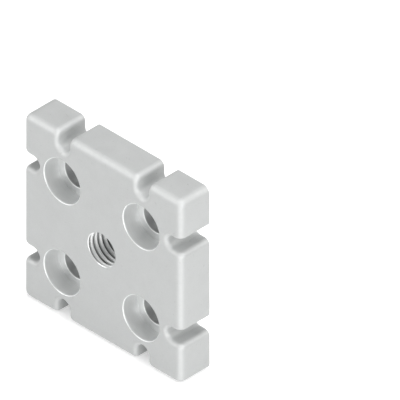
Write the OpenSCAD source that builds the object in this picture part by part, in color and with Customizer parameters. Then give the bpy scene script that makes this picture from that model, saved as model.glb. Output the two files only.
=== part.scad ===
// Square end plate for a framing profile, cast in one piece: four recessed screw holes hold it
// to the profile's end, a thread in the middle takes a foot or an eye, and two slots in each
// side line up with the grooves of the profile.
// It is drawn lying on its flat back, then stood up with its front face towards -Y. The origin
// is on the back, at the middle of the plate.

/* [Plate] */
// Width and height of the square plate
plate_width = 90; // [80:1:110]
// Thickness from the front face to the flat back
plate_thickness = 16.5; // [14:0.5:25]
// Radius of the rounded front edges and of the four corners
edge_radius = 3.5; // [2.5:0.5:5]

/* [Side slots] */
// Distance between the two slots in each side
slot_spacing = 45; // [40:1:50]
// Width of a slot
slot_width = 6.5; // [5:0.5:8]
// Depth of a slot from the side of the plate to its round end
slot_depth = 8.5; // [7:0.5:9]
// Radius of the rounded edges along a slot
slot_edge_radius = 2.5; // [1:0.5:3]

/* [Screw holes] */
// Distance between the screw holes along each side
screw_spacing = 45; // [40:1:50]
// Diameter of the clearance hole for a screw
screw_hole_d = 13.5; // [10:0.5:17]
// Diameter of the recess for the screw's head
head_recess_d = 20.5; // [18:0.5:21.5]
// Depth of the recess for the screw's head
head_recess_depth = 8.3; // [5:0.1:12]
// Width of the bevel that breaks the rims of a screw hole
rim_bevel = 0.3; // [0.1:0.1:0.6]

/* [Thread] */
// Diameter of the threaded bore over the crests of its thread
thread_bore_d = 15.3; // [10:0.1:18]
// Width of the bevelled lead-in at each end of the thread
thread_lead_in = 0.3; // [0.1:0.1:1.5]

/* [Hidden] */
$fn = 64;
// How far a cutter reaches past the surface that it cuts
over = 1;
slot_end_radius = slot_width / 2;
// Straight length of a slot, from the middle of its round end to the side of the plate
slot_run = slot_depth - slot_end_radius;
// A slot's edges roll over the plate's own rounded edge, so they are never rounder than it
slot_round = min(slot_edge_radius, edge_radius);
head_seat = plate_thickness - head_recess_depth;

// What rounding takes off a square corner: the corner's square less its quarter circle
module corner_waste(radius) {
    difference() {
        square(radius + over);
        circle(radius);
    }
}

// The same, with the waste on the side of -X
module left_corner_waste(radius) {
    mirror([1, 0])
        corner_waste(radius);
}

// Square block with its front edges and its four corners rounded
module blank() {
    reach = plate_width / 2 - edge_radius;
    round_level = plate_thickness - edge_radius;
    difference() {
        translate([-plate_width / 2, -plate_width / 2, 0])
            cube([plate_width, plate_width, plate_thickness]);
        for (turn = [0 : 90 : 270])
            rotate([0, 0, turn]) {
                // corner of the outline, through the whole thickness
                translate([reach, reach, -over])
                    linear_extrude(plate_thickness + 2 * over)
                        corner_waste(edge_radius);
                // front edge round that corner
                translate([reach, reach, round_level])
                    rotate_extrude(angle = 90)
                        corner_waste(edge_radius);
                // straight front edge
                translate([reach, reach, round_level])
                    rotate([90, 0, 0])
                        linear_extrude(2 * reach)
                            corner_waste(edge_radius);
            }
    }
}

// Rounding of the slot's edge at +X: out along the front face, over the plate's rounded
// edge as a ball would roll, and down the side of the plate to its back
module slot_edge() {
    ball_x = slot_end_radius + slot_round;
    roll_y = slot_run - edge_radius;
    translate([ball_x, roll_y, plate_thickness - slot_round])
        rotate([90, 0, 0])
            linear_extrude(roll_y)
                left_corner_waste(slot_round);
    translate([ball_x, roll_y, plate_thickness - edge_radius])
        rotate([0, -90, 0])
            rotate_extrude(angle = 90)
                translate([edge_radius - slot_round, 0])
                    corner_waste(slot_round);
    translate([ball_x, slot_run - slot_round, -over])
        linear_extrude(plate_thickness - edge_radius + over)
            left_corner_waste(slot_round);
}

// Slot open towards +Y, with the middle of its round end at the origin
module slot() {
    translate([0, 0, -over])
        linear_extrude(plate_thickness + 2 * over) {
            circle(slot_end_radius);
            translate([-slot_end_radius, 0])
                square([slot_width, slot_run + over]);
        }
    // rounded front edge of the round end
    translate([0, 0, plate_thickness - slot_round])
        rotate([0, 0, 180])
            rotate_extrude(angle = 180)
                translate([slot_end_radius + slot_round, 0])
                    left_corner_waste(slot_round);
    slot_edge();
    mirror([1, 0, 0])
        slot_edge();
}

// Clearance hole with a flat-bottomed recess for the screw's head, rims bevelled
module screw_hole() {
    hole_r = screw_hole_d / 2;
    recess_r = head_recess_d / 2;
    rotate_extrude()
        polygon([
            [0, -over],
            [hole_r + rim_bevel + over, -over],
            [hole_r, rim_bevel],
            [hole_r, head_seat - rim_bevel],
            [hole_r + rim_bevel, head_seat],
            [recess_r, head_seat],
            [recess_r, plate_thickness - rim_bevel],
            [recess_r + rim_bevel + over, plate_thickness + over],
            [0, plate_thickness + over]
        ]);
}

// Bore of the thread, with a bevelled lead-in at each end
module thread_bore() {
    bore_r = thread_bore_d / 2;
    mouth_r = bore_r + thread_lead_in + over;
    rotate_extrude()
        polygon([
            [0, -over],
            [mouth_r, -over],
            [bore_r, thread_lead_in],
            [bore_r, plate_thickness - thread_lead_in],
            [mouth_r, plate_thickness + over],
            [0, plate_thickness + over]
        ]);
}

module plate() {
    color("silver")
        rotate([90, 0, 0])
            difference() {
                blank();
                for (turn = [0 : 90 : 270], side = [-1, 1])
                    rotate([0, 0, turn])
                        translate([side * slot_spacing / 2, plate_width / 2 - slot_run, 0])
                            slot();
                for (x = [-1, 1], y = [-1, 1])
                    translate([x * screw_spacing / 2, y * screw_spacing / 2, 0])
                        screw_hole();
                thread_bore();
            }
}

plate();
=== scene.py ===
import math
import bmesh
import bpy
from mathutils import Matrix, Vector


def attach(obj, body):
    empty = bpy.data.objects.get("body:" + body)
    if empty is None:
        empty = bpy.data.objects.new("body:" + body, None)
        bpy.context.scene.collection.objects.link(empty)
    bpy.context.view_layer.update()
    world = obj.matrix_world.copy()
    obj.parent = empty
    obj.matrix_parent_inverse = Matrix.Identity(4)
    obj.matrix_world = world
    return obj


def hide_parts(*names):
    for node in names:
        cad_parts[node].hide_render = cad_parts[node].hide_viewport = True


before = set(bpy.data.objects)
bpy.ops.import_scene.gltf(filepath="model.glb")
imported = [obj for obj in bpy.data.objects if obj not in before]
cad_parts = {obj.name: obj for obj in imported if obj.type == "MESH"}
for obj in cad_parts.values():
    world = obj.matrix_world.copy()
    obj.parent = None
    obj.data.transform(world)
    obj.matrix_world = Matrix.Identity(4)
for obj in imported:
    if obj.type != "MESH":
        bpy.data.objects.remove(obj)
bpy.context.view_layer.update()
scene = bpy.context.scene
millimetre = 0.001

# Camera: an isometric view of the front, the top and the right side. Lengths are in metres.
view = {
    "azimuth": 45.0,
    "elevation": 35.264,
    "aim": (0.01984, 0.01976, 0.01641),
    "frameWidth": 0.16112,
    "distance": 1.2,
    "clip": (0.05, 10.0),
}


def directionAt(azimuth, elevation):
    # azimuth 0 lies in front of the plate, 90 on its right
    a, e = math.radians(azimuth), math.radians(elevation)
    return Vector((math.sin(a) * math.cos(e), -math.cos(a) * math.cos(e), math.sin(e)))


def pointAt(item, place, target):
    item.location = place
    item.rotation_mode = "QUATERNION"
    item.rotation_quaternion = (Vector(target) - Vector(place)).to_track_quat("-Z", "Y")


def makeCamera():
    data = bpy.data.cameras.new("camera")
    data.type = "ORTHO"
    data.ortho_scale = view["frameWidth"]
    data.clip_start, data.clip_end = view["clip"]
    camera = bpy.data.objects.new("camera", data)
    scene.collection.objects.link(camera)
    aim = Vector(view["aim"])
    back = directionAt(view["azimuth"], view["elevation"])
    pointAt(camera, aim + back * view["distance"], aim)
    scene.camera = camera


makeCamera()
print("camera set")


# Short forms for building node trees
def fillInputs(tree, node, inputs):
    # a socket is linked to the input, and anything else becomes its value
    for key, value in inputs.items():
        if isinstance(value, bpy.types.NodeSocket):
            tree.links.new(value, node.inputs[key])
        else:
            node.inputs[key].default_value = value


def addNode(tree, kind, inputs=(), **settings):
    node = tree.nodes.new(kind)
    for name, value in settings.items():
        setattr(node, name, value)
    fillInputs(tree, node, dict(inputs))
    return node


def calc(tree, operation, *values, clamp=False):
    node = addNode(tree, "ShaderNodeMath", dict(enumerate(values)),
                   operation=operation, use_clamp=clamp)
    return node.outputs[0]


def choose(tree, test, low, high):
    # low where the test gives 0, high where it gives 1
    node = addNode(tree, "GeometryNodeSwitch", {0: test, 1: low, 2: high}, input_type="FLOAT")
    return node.outputs[0]


def pick(tree, index, values):
    # the value in the list at that index
    node = addNode(tree, "GeometryNodeIndexSwitch", data_type="FLOAT")
    while len(node.index_switch_items) < len(values):
        node.index_switch_items.new()
    fillInputs(tree, node, {"Index": index, **dict(enumerate(values, 1))})
    return node.outputs[0]


def split(tree, vector):
    # the three parts of a vector
    return addNode(tree, "ShaderNodeSeparateXYZ", {0: vector}).outputs


def splitField(tree, kind):
    # the three parts of what a node gives for each point or face, such as its position
    return split(tree, tree.nodes.new(kind).outputs[0])


def fromAxis(tree, across, upward):
    # distance from an axis that runs from front to back
    squared = calc(tree, "MULTIPLY", upward, upward)
    return calc(tree, "SQRT", calc(tree, "MULTIPLY_ADD", across, across, squared))


def fromHole(tree, place, half):
    # distance from the nearest hole's axis, half a spacing from the plate's middle both ways
    across, upward = [
        calc(tree, "SUBTRACT", calc(tree, "ABSOLUTE", place[part]), half) for part in "XZ"]
    return fromAxis(tree, across, upward)


# Small amounts that the cutting of the plate needs, in millimetres
tolerance = {
    "merge": 0.0001,  # corners of neighbouring triangles
    "level": 0.001,  # faces in the plane of the front or the back
    "rim": 0.05,  # walls are looked for this far past a rim
    "seam": 0.001,
    "plug": 0.002,  # points of a plug that meet when it is rolled up
    "cut": 0.003,  # points that a cut leaves almost in one place
    "inside": 0.01,  # how far a hole's walls keep from the planes of front and back
}
plugTurn = 0.02  # radians, about a third of a side, so that no corner meets a seam of the plate


def weld(tree, geometry, distance):
    node = addNode(tree, "GeometryNodeMergeByDistance", {
        "Geometry": geometry, "Distance": distance * millimetre})
    return node.outputs[0]


def makeSheet(tree, sides, rows):
    # flat sheet to be rolled into a plug: how far round each point lies, from 0 to 1, and its row
    sheet = addNode(tree, "GeometryNodeMeshGrid", {
        "Size X": 1.0, "Size Y": 1.0,
        "Vertices X": calc(tree, "ADD", sides, 1), "Vertices Y": calc(tree, "ADD", rows, 1)})
    place = splitField(tree, "GeometryNodeInputPosition")
    row = calc(tree, "MULTIPLY", calc(tree, "ADD", place["Y"], 0.5), rows)
    return sheet.outputs["Mesh"], calc(tree, "ADD", place["X"], 0.5), calc(tree, "ROUND", row)


def rollUp(tree, sheet, turn, radius, depth, thickness):
    # closed plug round the Y axis, its depth counted from the front face
    angle = calc(tree, "MULTIPLY_ADD", turn, 2 * math.pi, plugTurn)
    spot = addNode(tree, "ShaderNodeCombineXYZ", {
        0: calc(tree, "MULTIPLY", radius, calc(tree, "SINE", angle)),
        1: calc(tree, "SUBTRACT", depth, thickness),
        2: calc(tree, "MULTIPLY", radius, calc(tree, "COSINE", angle))})
    rolled = addNode(tree, "GeometryNodeSetPosition", {
        "Geometry": sheet, "Position": spot.outputs[0]})
    return weld(tree, rolled.outputs[0], tolerance["plug"])


def makeTree(name, sizes, counts):
    # node tree that takes the plate, named sizes and counts, and gives the plate back
    tree = bpy.data.node_groups.new(name, "GeometryNodeTree")
    face = tree.interface
    face.new_socket("Geometry", in_out="INPUT", socket_type="NodeSocketGeometry")
    for item in sizes:
        face.new_socket(item, in_out="INPUT", socket_type="NodeSocketFloat")
    for item in counts:
        face.new_socket(item, in_out="INPUT", socket_type="NodeSocketInt")
    face.new_socket("Material", in_out="INPUT", socket_type="NodeSocketMaterial")
    face.new_socket("Geometry", in_out="OUTPUT", socket_type="NodeSocketGeometry")
    return tree, tree.nodes.new("NodeGroupInput").outputs


def finishTree(tree, given, plug, isCut):
    # cuts the plug out of the plate and gives the new walls their material
    carved = addNode(tree, "GeometryNodeMeshBoolean", {
        "Mesh 1": given["Geometry"], "Mesh 2": plug}, operation="DIFFERENCE", solver="EXACT")
    welded = weld(tree, carved.outputs["Mesh"], tolerance["cut"])
    real = addNode(tree, "GeometryNodeRealizeInstances", {"Geometry": welded})
    done = addNode(tree, "GeometryNodeSetMaterial", {
        "Geometry": real.outputs[0], "Selection": isCut, "Material": given["Material"]})
    tree.links.new(done.outputs[0], tree.nodes.new("NodeGroupOutput").inputs[0])


def runTree(piece, tree, values):
    # runs a tree on the piece and keeps the result as a plain mesh
    cutter = piece.modifiers.new(tree.name, "NODES")
    cutter.node_group = tree
    for item in tree.interface.items_tree:
        if item.in_out == "INPUT" and item.name in values:
            cutter[item.identifier] = values[item.name]
    graph = bpy.context.evaluated_depsgraph_get()
    mesh = bpy.data.meshes.new_from_object(piece.evaluated_get(graph))
    piece.modifiers.remove(cutter)
    piece.data = mesh


# Materials. Lengths are in millimetres. A turned wall takes a painted shade, darker towards the
# narrow hole or the
# # thread's roots, between two given distances from the hole's axis.
castSkin = {
    "color": (0.545, 0.555, 0.552),
    "metallic": 0.45,
    "grainSize": 0.45,
    "patchSize": 9.0,
    "contrast": 0.09,
    "roughness": 0.66,
    "roughnessSpread": 0.12,
    "grainHeight": 0.06,
    # paler edges: partly wear, partly a painted highlight on the fillets
    "wearAndHighlightColor": (0.8, 0.81, 0.805),
    "wearAndHighlight": 0.4,
    "wearAndHighlightRoughness": -0.1,
    "breakupSize": 2.0,
    "roundHole": 0.0,
}
cutMetal = {
    "color": (0.76, 0.77, 0.767),
    "metallic": 0.65,
    "grainSize": 0.25,
    "patchSize": 4.0,
    "contrast": 0.03,
    "roughness": 0.5,
    "roughnessSpread": 0.08,
    "halfSpacing": 22.5,
    "feed": 0.3,
    "markHeight": 0.006,
    "markContrast": 0.08,
    # paler rims: partly wear, partly a painted highlight on the bevels
    "wearAndHighlightColor": (0.95, 0.96, 0.955),
    "wearAndHighlight": 0.9,
    "breakupSize": 1.0,
    "roundHole": 1.0,
    "paintedShadeColor": (0.22, 0.225, 0.225),  # painted shade: the narrow hole is darker than its recess
    "paintedShadeFrom": 6.9,
    "paintedShadeTo": 6.77,
    "paintedShadeAmount": 0.6,
}
threadMetal = {
    "color": (0.95, 0.96, 0.955),
    "metallic": 0.5,
    "grainSize": 0.2,
    "patchSize": 3.0,
    "contrast": 0.05,
    "roughness": 0.24,
    "roughnessSpread": 0.06,
    "halfSpacing": 0.0,
    "feed": 0.3,
    "markHeight": 0.0003,
    "markContrast": 0.04,
    # paler rims: partly wear, partly a painted highlight on the bevels
    "wearAndHighlightColor": (0.92, 0.93, 0.925),
    "wearAndHighlight": 0.2,
    "breakupSize": 1.0,
    "roundHole": 1.0,
    "paintedShadeColor": (0.05, 0.052, 0.052),  # painted shade: the roots of the thread are darker than its crests
    "paintedShadeFrom": 8.1,
    "paintedShadeTo": 8.95,
    "paintedShadeAmount": 0.95,
}

# The parts of the two shared effects that no finish changes
grainForm = {
    "fineShade": 0.8,  # shade of the fine grain, as a share of the contrast
    "fineRoughness": 0.04,
    "poreSize": 3.0,  # times the grain size
    "poreFrom": 0.7,
    "poreTo": 0.8,
    "poreShade": -1.2,
    "poreHeight": -1.5,
}
edgeForm = {
    "flat": 0.985,  # largest part of the normal where the pale edge (wear and painted highlight) starts, and where it is full
    "edge": 0.76,
    "brokenFrom": 0.3,
    "brokenTo": 0.6,
    "least": 0.72,  # share of the pale edge that is left where the noise breaks it up
}


def makeGroup(name, inputs, outputs):
    # shader node group with named inputs and outputs
    tree = bpy.data.node_groups.new(name, "ShaderNodeTree")
    for item, value in inputs.items():
        kind = "NodeSocketColor" if isinstance(value, tuple) else "NodeSocketFloat"
        tree.interface.new_socket(item, in_out="INPUT", socket_type=kind).default_value = value
    for item, kind in outputs.items():
        tree.interface.new_socket(item, in_out="OUTPUT", socket_type=kind)
    return tree, tree.nodes.new("NodeGroupInput").outputs, tree.nodes.new("NodeGroupOutput").inputs


def scaleBy(tree, vector, factor):
    node = addNode(tree, "ShaderNodeVectorMath", {
        "Vector": vector, "Scale": factor}, operation="SCALE")
    return node.outputs[0]


def objectPlace(tree):
    # place on the plate, in millimetres
    return scaleBy(tree, tree.nodes.new("ShaderNodeTexCoord").outputs["Object"], 1 / millimetre)


def noise(tree, place, size, detail):
    node = addNode(tree, "ShaderNodeTexNoise", {
        "Vector": place, "Scale": calc(tree, "DIVIDE", 1.0, size),
        "Detail": detail, "Roughness": 0.6})
    return node.outputs["Fac"]


def swing(tree, value, amount):
    # value runs from 0 to 1 and the answer from -amount to amount
    centred = calc(tree, "MULTIPLY_ADD", value, 2.0, -1.0)
    return calc(tree, "MULTIPLY", centred, amount)


def shadeBy(tree, color, change):
    return scaleBy(tree, color, calc(tree, "ADD", change, 1.0))


def makeGrainGroup():
    # fine grain over slow patches, with a few darker pores
    tree, given, out = makeGroup("metalGrain", {
        "Color": (0.5, 0.5, 0.5, 1.0), "Grain size": 0.5, "Patch size": 8.0, "Contrast": 0.05,
        "Roughness": 0.5, "Roughness spread": 0.1}, {
        "Color": "NodeSocketColor", "Roughness": "NodeSocketFloat", "Height": "NodeSocketFloat"})
    place = objectPlace(tree)
    fine = noise(tree, place, given["Grain size"], detail=3.0)
    broad = noise(tree, place, given["Patch size"], detail=4.0)
    poreSize = calc(tree, "MULTIPLY", given["Grain size"], grainForm["poreSize"])
    pore = addNode(tree, "ShaderNodeMapRange", {
        "Value": noise(tree, place, poreSize, detail=1.0),
        "From Min": grainForm["poreFrom"], "From Max": grainForm["poreTo"]}).outputs[0]

    slow = swing(tree, broad, given["Contrast"])
    quick = swing(tree, fine, calc(tree, "MULTIPLY", given["Contrast"], grainForm["fineShade"]))
    poreShade = calc(tree, "MULTIPLY", given["Contrast"], grainForm["poreShade"])
    dark = calc(tree, "MULTIPLY", pore, poreShade)
    change = calc(tree, "ADD", calc(tree, "ADD", slow, quick), dark)
    tree.links.new(shadeBy(tree, given["Color"], change), out["Color"])

    spread = swing(tree, broad, given["Roughness spread"])
    rough = calc(tree, "ADD", calc(tree, "ADD", spread, given["Roughness"]),
                 swing(tree, fine, grainForm["fineRoughness"]))
    tree.links.new(rough, out["Roughness"])
    height = calc(tree, "MULTIPLY_ADD", pore, grainForm["poreHeight"], fine)
    tree.links.new(height, out["Height"])
    return tree


def makeWearAndHighlightGroup():
    # mask of the edges, where the surface faces between two sides, broken up by noise, that pales
    # fillets and bevels as wear and as a painted highlight; in a round
    # # hole the wall faces straight outwards all the way round, and only its bevels count as edges
    tree, given, out = makeGroup("wearAndHighlightEdges", {
        "Amount": 0.5, "Breakup size": 2.0, "Round hole": 0.0}, {"Mask": "NodeSocketFloat"})
    parts = split(tree, tree.nodes.new("ShaderNodeTexCoord").outputs["Normal"])
    sideways, lengthways, upright = [calc(tree, "ABSOLUTE", parts[part]) for part in "XYZ"]
    flat = calc(tree, "MAXIMUM", sideways, upright)
    radial = fromAxis(tree, sideways, upright)
    wall = addNode(tree, "ShaderNodeMix", {0: given["Round hole"], 2: flat, 3: radial}).outputs[0]
    edge = addNode(tree, "ShaderNodeMapRange", {
        "Value": calc(tree, "MAXIMUM", wall, lengthways),
        "From Min": edgeForm["flat"], "From Max": edgeForm["edge"]},
        interpolation_type="SMOOTHSTEP").outputs[0]
    broken = addNode(tree, "ShaderNodeMapRange", {
        "Value": noise(tree, objectPlace(tree), given["Breakup size"], detail=4.0),
        "From Min": edgeForm["brokenFrom"], "From Max": edgeForm["brokenTo"],
        "To Min": edgeForm["least"], "To Max": 1.0}).outputs[0]
    mask = calc(tree, "MULTIPLY", calc(tree, "MULTIPLY", edge, broken), given["Amount"])
    tree.links.new(mask, out["Mask"])
    return tree


def makeTurningGroup():
    # rings that a turning tool leaves, on walls and on flat seats alike, round each hole's axis
    tree, given, out = makeGroup("turningMarks", {
        "Half spacing": 22.5, "Feed": 0.3}, {
        "Height": "NodeSocketFloat", "Outward": "NodeSocketFloat"})
    parts = split(tree, objectPlace(tree))
    outward = fromHole(tree, parts, given["Half spacing"])
    travel = calc(tree, "DIVIDE", calc(tree, "ADD", outward, parts["Y"]), given["Feed"])
    rings = addNode(tree, "ShaderNodeTexNoise", {
        "W": travel, "Scale": 1.0, "Detail": 2.0}, noise_dimensions="1D")
    tree.links.new(rings.outputs["Fac"], out["Height"])
    tree.links.new(outward, out["Outward"])
    return tree


grainGroup = makeGrainGroup()
wearAndHighlightGroup = makeWearAndHighlightGroup()
turningGroup = makeTurningGroup()


def startMetal(name, values):
    # material with a metal shader and its grain; the rest is added by each finish
    material = bpy.data.materials.new(name)
    material.use_nodes = True
    tree = material.node_tree
    shader = tree.nodes["Principled BSDF"]
    shader.inputs["Metallic"].default_value = values["metallic"]
    grain = addNode(tree, "ShaderNodeGroup", {
        "Color": (*values["color"], 1.0),
        "Grain size": values["grainSize"],
        "Patch size": values["patchSize"],
        "Contrast": values["contrast"],
        "Roughness": values["roughness"],
        "Roughness spread": values["roughnessSpread"]}, node_tree=grainGroup)
    return material, tree, shader, grain.outputs


def mixTowards(tree, color, other, mask):
    # input 0 is the mix node's factor, and 6 and 7 are its two colours
    mix = addNode(tree, "ShaderNodeMix", {0: mask, 6: color, 7: (*other, 1.0)}, data_type="RGBA")
    return mix.outputs[2]


def paleEdgesForWearAndHighlight(tree, color, values):
    # the colour with paler edges, partly wear and partly a painted highlight, and their mask
    wearAndHighlight = addNode(tree, "ShaderNodeGroup", {
        "Amount": values["wearAndHighlight"],
        "Breakup size": values["breakupSize"],
        "Round hole": values["roundHole"]}, node_tree=wearAndHighlightGroup)
    mask = wearAndHighlight.outputs["Mask"]
    return mixTowards(tree, color, values["wearAndHighlightColor"], mask), mask


def paintShadeInside(tree, color, outward, values):
    # the colour, darkened with a painted shade in the narrow hole or the thread's roots, by
    # distance from the hole's axis
    mask = addNode(tree, "ShaderNodeMapRange", {
        "Value": outward, "From Min": values["paintedShadeFrom"], "From Max": values["paintedShadeTo"],
        "To Max": values["paintedShadeAmount"]}).outputs[0]
    return mixTowards(tree, color, values["paintedShadeColor"], mask)


def bump(tree, height, distance):
    node = addNode(tree, "ShaderNodeBump", {"Height": height, "Distance": distance * millimetre})
    return node.outputs[0]


def makeCastMaterial():
    material, tree, shader, grain = startMetal("castAluminium", castSkin)
    # pale fillets: partly wear, partly a painted highlight
    color, mask = paleEdgesForWearAndHighlight(tree, grain["Color"], castSkin)
    fillInputs(tree, shader, {
        "Base Color": color,
        "Roughness": calc(tree, "MULTIPLY_ADD", mask, castSkin["wearAndHighlightRoughness"],
                          grain["Roughness"]),
        "Normal": bump(tree, grain["Height"], castSkin["grainHeight"])})
    return material


def makeTurnedMaterial(name, values):
    material, tree, shader, grain = startMetal(name, values)
    marks = addNode(tree, "ShaderNodeGroup", {
        "Half spacing": values["halfSpacing"], "Feed": values["feed"]},
        node_tree=turningGroup).outputs
    color = shadeBy(tree, grain["Color"], swing(tree, marks["Height"], values["markContrast"]))
    # pale bevels: partly wear, partly a painted highlight
    color = paleEdgesForWearAndHighlight(tree, color, values)[0]
    # base colour with a painted shade in the narrow hole or the thread's roots
    fillInputs(tree, shader, {
        "Base Color": paintShadeInside(tree, color, marks["Outward"], values),
        "Roughness": grain["Roughness"],
        "Normal": bump(tree, marks["Height"], values["markHeight"])})
    return material


castMaterial = makeCastMaterial()
cutMaterial = makeTurnedMaterial("cutAluminium", cutMetal)
threadMaterial = makeTurnedMaterial("threadAluminium", threadMetal)
print("materials made")

# The plate's five holes, in millimetres. The thread is cut by a plug in the form of a screw.
everyHole = {
    "Thickness": 16.5,
    "Bevel": 0.3,
    "Over": 1.0,  # how far a plug stands past both faces
}
thread = {
    **everyHole,
    "Crest radius": 7.65,
    "Groove depth": 1.35,
    "Pitch": 2.5,
    "Run-out": 0.5,  # length over which the groove fades below each rim
}
threadForm = {
    "Crest share": 0.25,  # of the pitch
    "Flank share": 0.3,
    "Root blend": 0.25,  # how softly a flank runs into the root
}
threadCounts = {"Sides": 120, "Rows per pitch": 20}
endRows = 2  # rows of the plug beyond the thread, at each end
screwHole = {
    **everyHole,
    "Hole radius": 6.75,
    "Recess radius": 10.25,
    "Recess depth": 8.3,
    "Spacing": 45.0,
}
screwCounts = {"Sides": 96}


def makeThreadTree():
    tree, given = makeTree("tappedHole", (*thread, *threadForm), (*threadCounts, "Rows"))
    crest, thickness, over = given["Crest radius"], given["Thickness"], given["Over"]
    sheet, turn, row = makeSheet(tree, given["Sides"], given["Rows"])
    step = calc(tree, "DIVIDE", calc(tree, "SUBTRACT", row, endRows), given["Rows per pitch"])

    # rows climb one pitch in a turn, and stop at the bevels
    low = given["Bevel"]
    high = calc(tree, "SUBTRACT", thickness, given["Bevel"])
    climb = calc(tree, "SUBTRACT", calc(tree, "ADD", step, turn), 1.0)
    free = calc(tree, "MULTIPLY_ADD", climb, given["Pitch"], low)
    depth = calc(tree, "MINIMUM", calc(tree, "MAXIMUM", free, low), high)

    # each pitch is a crest, then two flanks with a rounded root between them
    phase = calc(tree, "FRACT", step)
    rise = calc(tree, "SUBTRACT", phase, given["Crest share"])
    fall = calc(tree, "SUBTRACT", 1.0, phase)
    flank = calc(tree, "DIVIDE", calc(tree, "MINIMUM", rise, fall), given["Flank share"])
    root = calc(tree, "SMOOTH_MIN", flank, 1.0, given["Root blend"])
    groove = calc(tree, "MAXIMUM", root, 0.0)
    fadeIn = calc(tree, "DIVIDE", calc(tree, "SUBTRACT", depth, low), given["Run-out"], clamp=True)
    fadeOut = calc(tree, "DIVIDE", calc(tree, "SUBTRACT", high, depth), given["Run-out"],
                   clamp=True)
    cut = calc(tree, "MULTIPLY", calc(tree, "MULTIPLY", groove, fadeIn), fadeOut)
    radius = calc(tree, "MULTIPLY_ADD", cut, given["Groove depth"], crest)

    # the rows at each end: the flare of the bevel, then the middle of the cap
    flare = calc(tree, "ADD", calc(tree, "ADD", crest, given["Bevel"]), over)
    fromEnd = calc(tree, "SUBTRACT", given["Rows"], row)
    isFirst = calc(tree, "LESS_THAN", row, endRows - 0.5)
    isLast = calc(tree, "LESS_THAN", fromEnd, endRows - 0.5)
    isCap = calc(tree, "LESS_THAN", calc(tree, "MINIMUM", row, fromEnd), 0.5)
    radius = choose(tree, calc(tree, "MAXIMUM", isFirst, isLast), radius, flare)
    radius = choose(tree, isCap, radius, 0.0)
    depth = choose(tree, isFirst, depth, calc(tree, "MULTIPLY", over, -1.0))
    depth = choose(tree, isLast, depth, calc(tree, "ADD", thickness, over))
    plug = rollUp(tree, sheet, turn, radius, depth, thickness)

    # faces out to a little past the roots, but not the front and back of the plate
    rootReach, flatFacing = 1.1, 0.995
    where = splitField(tree, "GeometryNodeInputPosition")
    facing = splitField(tree, "GeometryNodeInputNormal")
    reach = calc(tree, "ADD", crest, calc(tree, "MULTIPLY", given["Groove depth"], rootReach))
    isNear = calc(tree, "LESS_THAN", fromAxis(tree, where["X"], where["Z"]), reach)
    isWall = calc(tree, "LESS_THAN", calc(tree, "ABSOLUTE", facing["Y"]), flatFacing)
    finishTree(tree, given, plug, calc(tree, "MULTIPLY", isNear, isWall))
    return tree


def makeScrewHoleTree():
    tree, given = makeTree("screwHoles", screwHole, screwCounts)
    bevel, over, thickness = given["Bevel"], given["Over"], given["Thickness"]
    hole, recess, seat = given["Hole radius"], given["Recess radius"], given["Recess depth"]
    above = calc(tree, "MULTIPLY", over, -1.0)
    below = calc(tree, "ADD", thickness, over)
    rim = calc(tree, "ADD", hole, bevel)
    recessRim = calc(tree, "ADD", recess, bevel)
    rings = [  # radius and depth, from the middle of the front cap to the middle of the back one
        (0.0, above),
        (calc(tree, "ADD", recessRim, over), above),
        (recess, bevel),
        (recess, seat),
        (rim, seat),
        (hole, calc(tree, "ADD", seat, bevel)),
        (hole, calc(tree, "SUBTRACT", thickness, bevel)),
        (calc(tree, "ADD", rim, over), below),
        (0.0, below),
    ]
    sheet, turn, row = makeSheet(tree, given["Sides"], len(rings) - 1)
    radius, depth = [pick(tree, row, values) for values in zip(*rings)]
    plug = rollUp(tree, sheet, turn, radius, depth, thickness)

    # one plug at each corner of a square
    square = addNode(tree, "GeometryNodeMeshGrid", {
        "Size X": given["Spacing"], "Size Y": given["Spacing"], "Vertices X": 2, "Vertices Y": 2})
    upright = addNode(tree, "GeometryNodeTransform", {
        "Geometry": square.outputs["Mesh"], "Rotation": (math.pi / 2, 0.0, 0.0)})
    plugs = addNode(tree, "GeometryNodeInstanceOnPoints", {
        "Points": upright.outputs[0], "Instance": plug})
    plugs = addNode(tree, "GeometryNodeRealizeInstances", {"Geometry": plugs.outputs[0]})

    # faces within a rim and between the planes of front and back
    where = splitField(tree, "GeometryNodeInputPosition")
    outward = fromHole(tree, where, calc(tree, "MULTIPLY", given["Spacing"], 0.5))
    middle = calc(tree, "MULTIPLY", thickness, 0.5)
    offMiddle = calc(tree, "ABSOLUTE", calc(tree, "ADD", where["Y"], middle))
    inner = calc(tree, "SUBTRACT", middle, tolerance["inside"] * millimetre)
    isWall = calc(tree, "LESS_THAN", offMiddle, inner)
    isNear = calc(tree, "LESS_THAN", outward, recessRim)
    finishTree(tree, given, plugs.outputs[0], calc(tree, "MULTIPLY", isWall, isNear))
    return tree


def isInHole(face):
    # walls of the five holes, and not the plate's faces that they open in
    level = tolerance["level"] * millimetre
    depth = face.calc_center_median().y
    if abs(depth) < level or abs(depth + everyHole["Thickness"] * millimetre) < level:
        return False
    half = screwHole["Spacing"] / 2 * millimetre
    past = everyHole["Bevel"] + tolerance["rim"]
    points = [point.co for point in face.verts]
    fromScrew = max(math.hypot(abs(point.x) - half, abs(point.z) - half) for point in points)
    fromMiddle = max(math.hypot(point.x, point.z) for point in points)
    return (fromScrew < (screwHole["Recess radius"] + past) * millimetre
            or fromMiddle < (thread["Crest radius"] + past) * millimetre)


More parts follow.
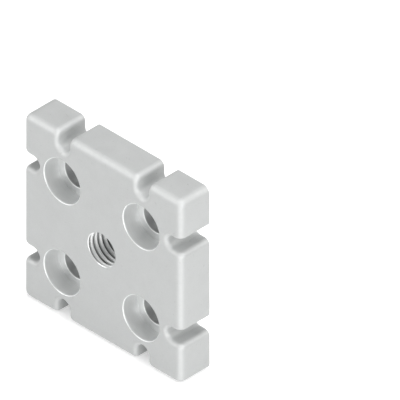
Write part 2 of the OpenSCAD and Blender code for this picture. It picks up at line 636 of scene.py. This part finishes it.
def makeBlank():
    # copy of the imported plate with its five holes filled
    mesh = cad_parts["plate"].data.copy()
    shape = bmesh.new()
    shape.from_mesh(mesh)
    bmesh.ops.remove_doubles(shape, verts=shape.verts, dist=tolerance["merge"] * millimetre)
    walls = [face for face in shape.faces if isInHole(face)]
    bmesh.ops.delete(shape, geom=walls, context="FACES")
    rims = [edge for edge in shape.edges if edge.is_boundary]
    bmesh.ops.holes_fill(shape, edges=rims, sides=0)
    flatAngle = 0.0005  # radians, between triangles that become one flat face
    bmesh.ops.dissolve_limit(shape, angle_limit=flatAngle, verts=shape.verts, edges=shape.edges)

    # seams through the middles of the holes, so that no face has to hold a whole hole
    for across in ((1, 0, 0), (0, 0, 1)):
        for side in (-1, 0, 1):
            spot = Vector(across) * side * screwHole["Spacing"] / 2 * millimetre
            parts = [*shape.verts, *shape.edges, *shape.faces]
            bmesh.ops.bisect_plane(shape, geom=parts, dist=tolerance["seam"] * millimetre,
                                   plane_co=spot, plane_no=across)
    bmesh.ops.recalc_face_normals(shape, faces=shape.faces)
    shape.to_mesh(mesh)
    shape.free()
    for item in ("custom_normal", "sharp_edge", "sharp_face"):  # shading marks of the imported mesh
        if item in mesh.attributes:
            mesh.attributes.remove(mesh.attributes[item])
    mesh.materials.clear()
    mesh.materials.append(castMaterial)
    blank = bpy.data.objects.new("slottedPlate", mesh)
    scene.collection.objects.link(blank)
    return blank


def inMetres(lengths):
    return {name: length * millimetre for name, length in lengths.items()}


def makePlate():
    plate = makeBlank()
    runTree(plate, makeScrewHoleTree(), {
        **inMetres(screwHole), **screwCounts, "Material": cutMaterial})
    wall = thread["Thickness"] - 2 * thread["Bevel"]
    rows = math.ceil(threadCounts["Rows per pitch"] * (wall / thread["Pitch"] + 1)) + 2 * endRows
    runTree(plate, makeThreadTree(), {
        **inMetres(thread), **threadForm, **threadCounts, "Rows": rows,
        "Material": threadMaterial})
    plate.data.name = "slottedPlate"
    return plate


# Shading: smooth, but crisp at edges above an angle, and flat faces kept flat by their weight
shading = {"edgeAngle": 30, "faceWeight": 100}


def shadePlate(plate):
    plate.data.shade_smooth()
    plate.data.set_sharp_from_angle(angle=math.radians(shading["edgeAngle"]))
    even = plate.modifiers.new("evenShading", "WEIGHTED_NORMAL")
    even.mode = "FACE_AREA"
    even.weight = shading["faceWeight"]
    even.keep_sharp = True


def reportPlate(mesh):
    # counts of the finished mesh, and whether it is closed
    shape = bmesh.new()
    shape.from_mesh(mesh)
    openEdges = sum(1 for edge in shape.edges if not edge.is_manifold)
    volume = shape.calc_volume() / millimetre ** 3
    shape.free()
    print("plate", len(mesh.vertices), "points", len(mesh.polygons), "faces", openEdges,
          "open edges", round(volume, 1), "mm3", [m.name for m in mesh.materials])


plate = makePlate()
shadePlate(plate)
reportPlate(plate.data)
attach(plate, "root")
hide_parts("plate")

# Floor and light. Lengths are in metres, angles in degrees and powers in watts.
studio = {
    "floorLevel": -0.045,
    "floorReach": 3.0,  # from the middle of the floor to its sides
    "floorColor": (0.8, 0.8, 0.8, 1.0),
    "glow": 0.4,
    "world": 0.3,
    "lampDistance": 1.0,
    "lamps": {
        "lowRight": {"azimuth": 60, "elevation": 5, "size": 0.5, "power": 4.8},
        "lowLeft": {"azimuth": -40, "elevation": 12, "size": 0.6, "power": 1.1},
        "left": {"azimuth": -45, "elevation": 35, "size": 0.9, "power": 2.9},
        "rightHigh": {"azimuth": 90, "elevation": 45, "size": 0.6, "power": 3.4},
        "overhead": {"azimuth": 0, "elevation": 89, "size": 0.8, "power": 1.6},
        "overBack": {"azimuth": 180, "elevation": 80, "size": 0.8, "power": 3.6},
    },
}
white = (1.0, 1.0, 1.0, 1.0)


def makeFloorMaterial():
    # matt and pale, with a glow that only the camera and reflections see
    material = bpy.data.materials.new("paleFloor")
    material.use_nodes = True
    tree = material.node_tree
    tree.nodes.clear()
    matt = addNode(tree, "ShaderNodeBsdfDiffuse", {"Color": studio["floorColor"]})
    glow = addNode(tree, "ShaderNodeEmission", {"Color": white, "Strength": studio["glow"]})
    rays = tree.nodes.new("ShaderNodeLightPath").outputs
    seen = calc(tree, "MAXIMUM", rays["Is Camera Ray"], rays["Is Glossy Ray"])
    both = addNode(tree, "ShaderNodeAddShader", {0: matt.outputs[0], 1: glow.outputs[0]})
    mixed = addNode(tree, "ShaderNodeMixShader", {
        0: seen, 1: matt.outputs[0], 2: both.outputs[0]})
    addNode(tree, "ShaderNodeOutputMaterial", {"Surface": mixed.outputs[0]})
    return material


def makeFloor():
    shape = bmesh.new()
    bmesh.ops.create_grid(shape, x_segments=1, y_segments=1, size=studio["floorReach"])
    mesh = bpy.data.meshes.new("floor")
    shape.to_mesh(mesh)
    shape.free()
    for point in mesh.vertices:
        point.co.z = studio["floorLevel"]
    mesh.materials.append(makeFloorMaterial())
    floor = bpy.data.objects.new("floor", mesh)
    scene.collection.objects.link(floor)


def makeLights():
    for name, lamp in studio["lamps"].items():
        data = bpy.data.lights.new(name, "AREA")
        data.shape = "DISK"
        data.size = lamp["size"]
        data.energy = lamp["power"]
        item = bpy.data.objects.new(name, data)
        scene.collection.objects.link(item)
        place = directionAt(lamp["azimuth"], lamp["elevation"]) * studio["lampDistance"]
        pointAt(item, place, (0, 0, 0))
    world = bpy.data.worlds.new("studio")
    world.use_nodes = True
    sky = world.node_tree.nodes["Background"].inputs
    sky["Strength"].default_value = studio["world"]
    sky["Color"].default_value = white
    scene.world = world
    scene.view_settings.view_transform = "Standard"


makeFloor()
makeLights()
print("studio set")
